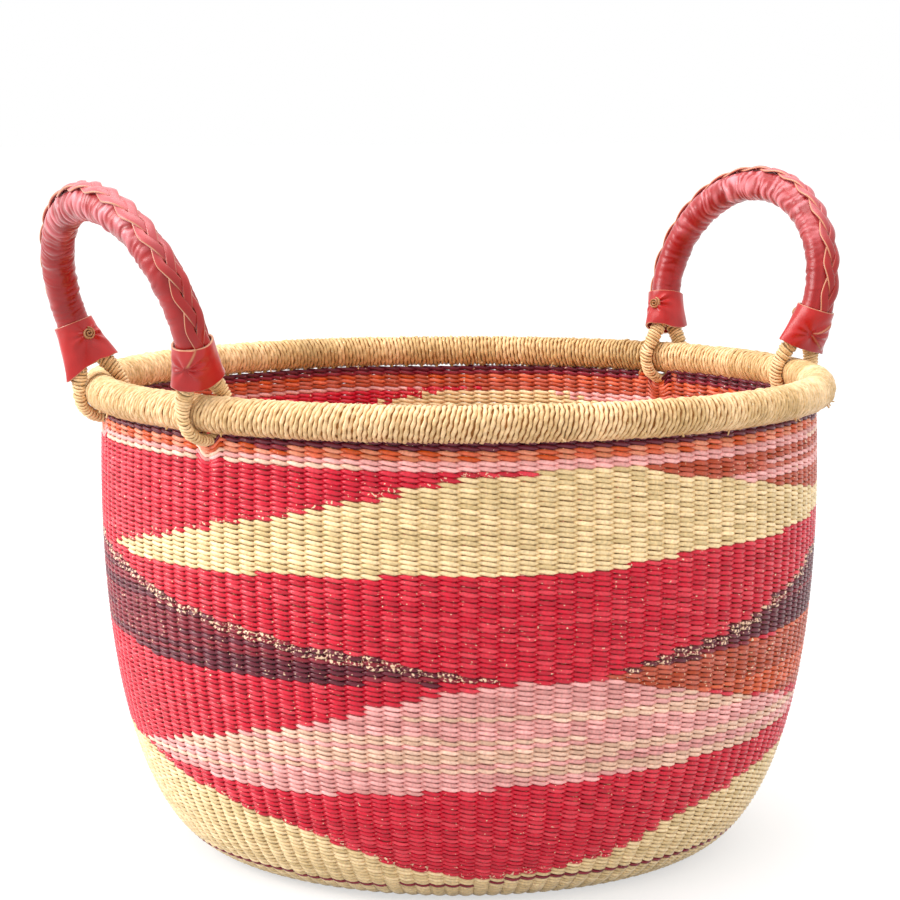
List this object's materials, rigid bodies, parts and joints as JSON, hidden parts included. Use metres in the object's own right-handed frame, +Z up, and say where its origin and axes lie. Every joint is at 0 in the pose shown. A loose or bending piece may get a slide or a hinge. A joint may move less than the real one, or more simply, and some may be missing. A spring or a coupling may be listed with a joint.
{
  "type": "woven straw basket",
  "caption": "Round open-topped twined straw basket with a bound rim roll and swinging leather-covered carrying handles.",
  "frame": {"origin": "on the floor, on the basket's own axis: the middle of the flat underside", "axes": "+X towards the right handle and -X towards the left one, with +Y along both hinge lines towards the back and +Z up out of the mouth"},
  "size_m": [0.443, 0.409, 0.3652],
  "materials": {
    "dyed_straw": "twined grass straw in dyed bands, mostly red",
    "rim_straw": "closely bound undyed grass straw with a soft sheen",
    "core_straw": "bundled dry grass, hidden inside the rim and the handles",
    "red_leather": "dyed goat leather, wrinkled and slightly shiny",
    "cuff_leather": "dyed goat leather with raw cut edges",
    "raw_leather": "undyed tan leather"
  },
  "bodies": {
    "basket": {"woven_base": "dyed_straw", "woven_wall": "dyed_straw", "rim_core": "core_straw", "rim_binding": "rim_straw"},
    "left_handle": {"left_handle_core": "core_straw", "left_leather_sleeve": "red_leather", "left_plait": "cuff_leather", "left_front_rim_loop": "rim_straw", "left_back_rim_loop": "rim_straw", "left_front_cuff": "cuff_leather", "left_back_cuff": "cuff_leather", "left_front_lace_end": "raw_leather", "left_back_lace_end": "raw_leather"},
    "right_handle": {"right_handle_core": "core_straw", "right_leather_sleeve": "red_leather", "right_plait": "cuff_leather", "right_front_rim_loop": "rim_straw", "right_back_rim_loop": "rim_straw", "right_front_cuff": "cuff_leather", "right_back_cuff": "cuff_leather", "right_front_lace_end": "raw_leather", "right_back_lace_end": "raw_leather"}
  },
  "joints": [
    {"name": "left_handle_swing", "type": "hinge", "parent": "basket", "child": "left_handle", "pos_m": [-0.18515, 0, 0.249], "axis": [0, -1, 0], "range_deg": [-108, 72]},
    {"name": "right_handle_swing", "type": "hinge", "parent": "basket", "child": "right_handle", "pos_m": [0.18515, 0, 0.249], "axis": [0, 1, 0], "range_deg": [-102, 78]}
  ]
}
